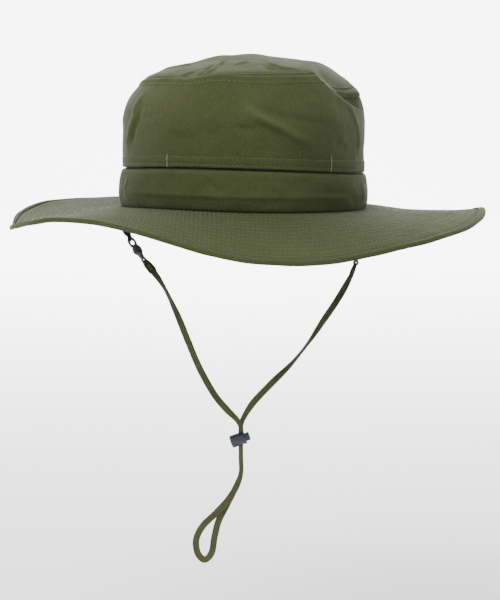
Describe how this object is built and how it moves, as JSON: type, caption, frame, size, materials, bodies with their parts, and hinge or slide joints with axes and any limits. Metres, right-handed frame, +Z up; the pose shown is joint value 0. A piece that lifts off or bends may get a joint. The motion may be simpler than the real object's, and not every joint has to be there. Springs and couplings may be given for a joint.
{
  "type": "boonie hat",
  "caption": "Wide-brimmed olive cloth hat with a flat-topped crown, a stitched brim and a hook-on chin strap with a sliding cord lock.",
  "frame": {"origin": "centre of the head opening, level with the lowest part of the seam between crown and brim, at the left side", "axes": "+Z up through the crown, -Y to the front of the hat, +X to the wearer's left; metres"},
  "size_m": [0.3388, 0.371, 0.3636],
  "materials": {
    "olive_cloth": "matte olive green plain-weave cloth with stitched rows",
    "olive_cloth_under": "matte olive green plain-weave cloth, under side of the brim",
    "interlining": "stiff natural non-woven interlining",
    "mesh": "fine dark olive knitted mesh",
    "sweatband": "soft dark olive brushed tricot",
    "thread": "pale yellow-green bartack thread, slight sheen",
    "olive_tape": "narrow olive woven tape",
    "black_webbing": "black woven webbing",
    "black_plastic": "black moulded nylon, satin",
    "spring_steel": "bright spring wire"
  },
  "bodies": {
    "hat": {"crown_tip": "olive_cloth", "tip_seam_tape": "sweatband", "crown_side_front": "olive_cloth", "crown_side_rear": "olive_cloth", "crown_band_front": "olive_cloth", "crown_band_rear": "olive_cloth", "vent_mesh_front": "mesh", "vent_mesh_rear": "mesh", "bartacks": "thread", "sweatband": "sweatband", "brim_top": "olive_cloth", "brim_interlining": "interlining", "brim_under": "olive_cloth_under", "brim_binding": "olive_cloth", "strap_tab_left": "black_webbing", "strap_tab_right": "black_webbing"},
    "strap": {"strap_hook_left": "black_plastic", "strap_hook_right": "black_plastic", "chin_strap": "olive_tape"},
    "lock": {"cord_lock_body": "black_plastic", "cord_lock_spring": "spring_steel"},
    "lock_button": {"cord_lock_plunger": "black_plastic"}
  },
  "joints": [
    {"name": "strap_swing", "type": "hinge", "parent": "hat", "child": "strap", "pos_m": [0, 0, -0.0209], "axis": [1, 0, 0], "range_deg": [-70, 70]},
    {"name": "lock_slide", "type": "slide", "parent": "strap", "child": "lock", "axis": [0, 0, 1], "range_m": [-0.018, 0.002]},
    {"name": "lock_press", "type": "slide", "parent": "lock", "child": "lock_button", "axis": [0.9397, 0, 0.342], "range_m": [-0.002, 0], "stiffness_N_per_m": 600, "deforming": ["cord_lock_spring"]}
  ]
}
